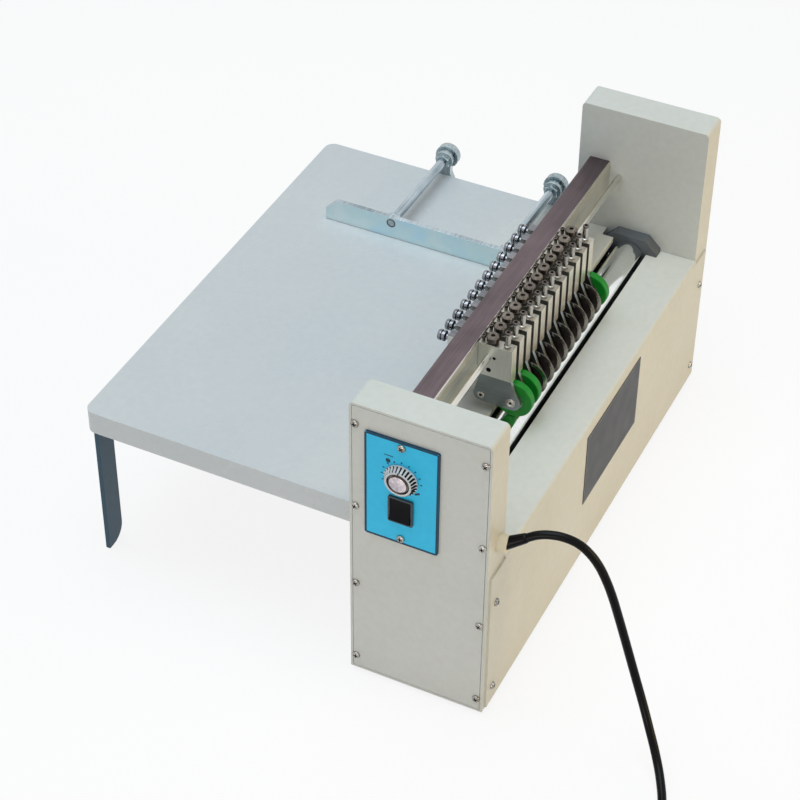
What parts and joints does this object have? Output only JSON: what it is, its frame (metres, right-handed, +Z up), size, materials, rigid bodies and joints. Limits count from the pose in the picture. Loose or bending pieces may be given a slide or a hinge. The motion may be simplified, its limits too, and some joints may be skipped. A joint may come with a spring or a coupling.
{
  "type": "motor-driven label slitter",
  "caption": "Bench slitter for label sheets: a driven steel roller under a beam of clamped disc blades and press wheels, with a feed table, side fence and speed control.",
  "frame": {"origin": "middle of the machine's footprint, on the floor", "axes": "+X along the roller from the control panel's end to the other end, +Y from the delivery side towards the feed table, +Z up"},
  "size_m": [0.6827, 0.6374, 0.282],
  "materials": {
    "warm_grey_paint": "satin",
    "table_grey_paint": "satin",
    "dark_leg_paint": "satin",
    "galvanised_sheet": "satin",
    "black_rubber": "matte",
    "nickel_screws": "gloss",
    "browned_steel": "satin",
    "polished_steel": "gloss",
    "dark_bearing": "satin",
    "brass_gear": "satin",
    "motor_grey": "satin",
    "black_plastic": "satin",
    "blue_panel": "gloss",
    "clear_knob": "gloss",
    "zinc_plate": "satin",
    "nickel_plate": "satin",
    "blade_steel": "satin",
    "green_tyre": "satin",
    "cream_gland": "satin",
    "cord_black": "satin"
  },
  "bodies": {
    "machine": {"near_housing": "warm_grey_paint", "far_housing": "warm_grey_paint", "near_end_cover": "warm_grey_paint", "far_end_cover": "warm_grey_paint", "cover_screws": "nickel_screws", "front_cover": "warm_grey_paint", "rear_cover": "warm_grey_paint", "base_plate": "galvanised_sheet", "rubber_feet": "black_rubber", "feed_table": "table_grey_paint", "table_legs": "dark_leg_paint", "leg_screws": "nickel_screws", "blade_beam": "browned_steel", "guide_rod": "polished_steel", "bearing_blocks": "dark_bearing", "gear_motor": "motor_grey", "control_box": "black_plastic", "speed_panel": "blue_panel", "panel_screws": "nickel_screws", "switch_bezel": "black_plastic", "guide_posts": "zinc_plate", "cord_gland": "cream_gland", "power_cord": "cord_black", "cord_coil": "cord_black", "power_plug": "cord_black"},
    "roller": {"feed_roller": "polished_steel", "roller_gear": "brass_gear"},
    "pinion": {"motor_pinion": "motor_grey"},
    "fence": {"guide_fence": "zinc_plate", "fence_rods": "zinc_plate"},
    "speed": {"speed_knob": "clear_knob"},
    "rocker": {"rocker_switch": "black_plastic"},
    "lock_1": {"lock_knob_1": "zinc_plate"},
    "lock_2": {"lock_knob_2": "zinc_plate"},
    "carrier_01": {"holder_01": "nickel_plate"},
    "disc_01": {"press_wheel_01": "green_tyre"},
    "carrier_02": {"holder_02": "nickel_plate"},
    "disc_02": {"press_wheel_02": "green_tyre"},
    "carrier_03": {"holder_03": "nickel_plate"},
    "disc_03": {"blade_03": "blade_steel"},
    "carrier_04": {"holder_04": "nickel_plate"},
    "disc_04": {"blade_04": "blade_steel"},
    "carrier_05": {"holder_05": "nickel_plate"},
    "disc_05": {"blade_05": "blade_steel"},
    "carrier_06": {"holder_06": "nickel_plate"},
    "disc_06": {"blade_06": "blade_steel"},
    "carrier_07": {"holder_07": "nickel_plate"},
    "disc_07": {"blade_07": "blade_steel"},
    "carrier_08": {"holder_08": "nickel_plate"},
    "disc_08": {"blade_08": "blade_steel"},
    "carrier_09": {"holder_09": "nickel_plate"},
    "disc_09": {"blade_09": "blade_steel"},
    "carrier_10": {"holder_10": "nickel_plate"},
    "disc_10": {"blade_10": "blade_steel"},
    "carrier_11": {"holder_11": "nickel_plate"},
    "disc_11": {"blade_11": "blade_steel"},
    "carrier_12": {"holder_12": "nickel_plate"},
    "disc_12": {"press_wheel_12": "green_tyre"}
  },
  "joints": [
    {"name": "roller_spin", "type": "hinge", "parent": "machine", "child": "roller", "pos_m": [0.00385, -0.1242, 0.1464], "axis": [1, 0, 0], "continuous": true},
    {"name": "pinion_spin", "type": "hinge", "parent": "machine", "child": "pinion", "pos_m": [-0.20615, -0.1242, 0.0894], "axis": [1, 0, 0], "continuous": true},
    {"name": "fence_slide", "type": "slide", "parent": "machine", "child": "fence", "axis": [1, 0, 0], "range_m": [0, 0.085]},
    {"name": "speed_turn", "type": "hinge", "parent": "machine", "child": "speed", "pos_m": [-0.23365, -0.1112, 0.225], "axis": [-1, 0, 0], "range_deg": [0, 270]},
    {"name": "rocker_tip", "type": "hinge", "parent": "machine", "child": "rocker", "pos_m": [-0.23205, -0.1112, 0.194], "axis": [0, -1, 0], "range_deg": [0, 18]},
    {"name": "lock_1_turn", "type": "hinge", "parent": "machine", "child": "lock_1", "pos_m": [0.22835, -0.0407, 0.1755], "axis": [1, 0, 0], "range_deg": [0, 180]},
    {"name": "lock_2_turn", "type": "hinge", "parent": "machine", "child": "lock_2", "pos_m": [0.22835, 0.0663, 0.1755], "axis": [1, 0, 0], "range_deg": [0, 180]},
    {"name": "holder_01_slide", "type": "slide", "parent": "machine", "child": "carrier_01", "axis": [1, 0, 0], "range_m": [-0.11, 0.0012]},
    {"name": "disc_01_spin", "type": "hinge", "parent": "carrier_01", "child": "disc_01", "pos_m": [-0.06218, -0.1267, 0.17715], "axis": [1, 0, 0], "continuous": true},
    {"name": "holder_02_slide", "type": "slide", "parent": "machine", "child": "carrier_02", "axis": [1, 0, 0], "range_m": [-0.0012, 0.0012]},
    {"name": "disc_02_spin", "type": "hinge", "parent": "carrier_02", "child": "disc_02", "pos_m": [-0.04782, -0.1267, 0.17715], "axis": [1, 0, 0], "continuous": true},
    {"name": "holder_03_slide", "type": "slide", "parent": "machine", "child": "carrier_03", "axis": [1, 0, 0], "range_m": [-0.0012, 0.0012]},
    {"name": "disc_03_spin", "type": "hinge", "parent": "carrier_03", "child": "disc_03", "pos_m": [-0.03347, -0.1267, 0.17715], "axis": [1, 0, 0], "continuous": true},
    {"name": "holder_04_slide", "type": "slide", "parent": "machine", "child": "carrier_04", "axis": [1, 0, 0], "range_m": [-0.0012, 0.0012]},
    {"name": "disc_04_spin", "type": "hinge", "parent": "carrier_04", "child": "disc_04", "pos_m": [-0.01912, -0.1267, 0.17715], "axis": [1, 0, 0], "continuous": true},
    {"name": "holder_05_slide", "type": "slide", "parent": "machine", "child": "carrier_05", "axis": [1, 0, 0], "range_m": [-0.0012, 0.0012]},
    {"name": "disc_05_spin", "type": "hinge", "parent": "carrier_05", "child": "disc_05", "pos_m": [-0.00477, -0.1267, 0.17715], "axis": [1, 0, 0], "continuous": true},
    {"name": "holder_06_slide", "type": "slide", "parent": "machine", "child": "carrier_06", "axis": [1, 0, 0], "range_m": [-0.0012, 0.0012]},
    {"name": "disc_06_spin", "type": "hinge", "parent": "carrier_06", "child": "disc_06", "pos_m": [0.00958, -0.1267, 0.17715], "axis": [1, 0, 0], "continuous": true},
    {"name": "holder_07_slide", "type": "slide", "parent": "machine", "child": "carrier_07", "axis": [1, 0, 0], "range_m": [-0.0012, 0.0012]},
    {"name": "disc_07_spin", "type": "hinge", "parent": "carrier_07", "child": "disc_07", "pos_m": [0.02392, -0.1267, 0.17715], "axis": [1, 0, 0], "continuous": true},
    {"name": "holder_08_slide", "type": "slide", "parent": "machine", "child": "carrier_08", "axis": [1, 0, 0], "range_m": [-0.0012, 0.0012]},
    {"name": "disc_08_spin", "type": "hinge", "parent": "carrier_08", "child": "disc_08", "pos_m": [0.03828, -0.1267, 0.17715], "axis": [1, 0, 0], "continuous": true},
    {"name": "holder_09_slide", "type": "slide", "parent": "machine", "child": "carrier_09", "axis": [1, 0, 0], "range_m": [-0.0012, 0.0012]},
    {"name": "disc_09_spin", "type": "hinge", "parent": "carrier_09", "child": "disc_09", "pos_m": [0.05262, -0.1267, 0.17715], "axis": [1, 0, 0], "continuous": true},
    {"name": "holder_10_slide", "type": "slide", "parent": "machine", "child": "carrier_10", "axis": [1, 0, 0], "range_m": [-0.0012, 0.0012]},
    {"name": "disc_10_spin", "type": "hinge", "parent": "carrier_10", "child": "disc_10", "pos_m": [0.06698, -0.1267, 0.17715], "axis": [1, 0, 0], "continuous": true},
    {"name": "holder_11_slide", "type": "slide", "parent": "machine", "child": "carrier_11", "axis": [1, 0, 0], "range_m": [-0.0012, 0.0012]},
    {"name": "disc_11_spin", "type": "hinge", "parent": "carrier_11", "child": "disc_11", "pos_m": [0.08132, -0.1267, 0.17715], "axis": [1, 0, 0], "continuous": true},
    {"name": "holder_12_slide", "type": "slide", "parent": "machine", "child": "carrier_12", "axis": [1, 0, 0], "range_m": [-0.0012, 0.085]},
    {"name": "disc_12_spin", "type": "hinge", "parent": "carrier_12", "child": "disc_12", "pos_m": [0.09567, -0.1267, 0.17715], "axis": [1, 0, 0], "continuous": true}
  ],
  "couplings": [
    {"joint": "pinion_spin", "follows": "roller_spin", "ratio": -1.375},
    {"joint": "disc_01_spin", "follows": "roller_spin", "ratio": -0.84849},
    {"joint": "disc_02_spin", "follows": "roller_spin", "ratio": -0.84849},
    {"joint": "disc_03_spin", "follows": "roller_spin", "ratio": -0.84849},
    {"joint": "disc_04_spin", "follows": "roller_spin", "ratio": -0.84849},
    {"joint": "disc_05_spin", "follows": "roller_spin", "ratio": -0.84849},
    {"joint": "disc_06_spin", "follows": "roller_spin", "ratio": -0.84849},
    {"joint": "disc_07_spin", "follows": "roller_spin", "ratio": -0.84849},
    {"joint": "disc_08_spin", "follows": "roller_spin", "ratio": -0.84849},
    {"joint": "disc_09_spin", "follows": "roller_spin", "ratio": -0.84849},
    {"joint": "disc_10_spin", "follows": "roller_spin", "ratio": -0.84849},
    {"joint": "disc_11_spin", "follows": "roller_spin", "ratio": -0.84849},
    {"joint": "disc_12_spin", "follows": "roller_spin", "ratio": -0.84849}
  ]
}
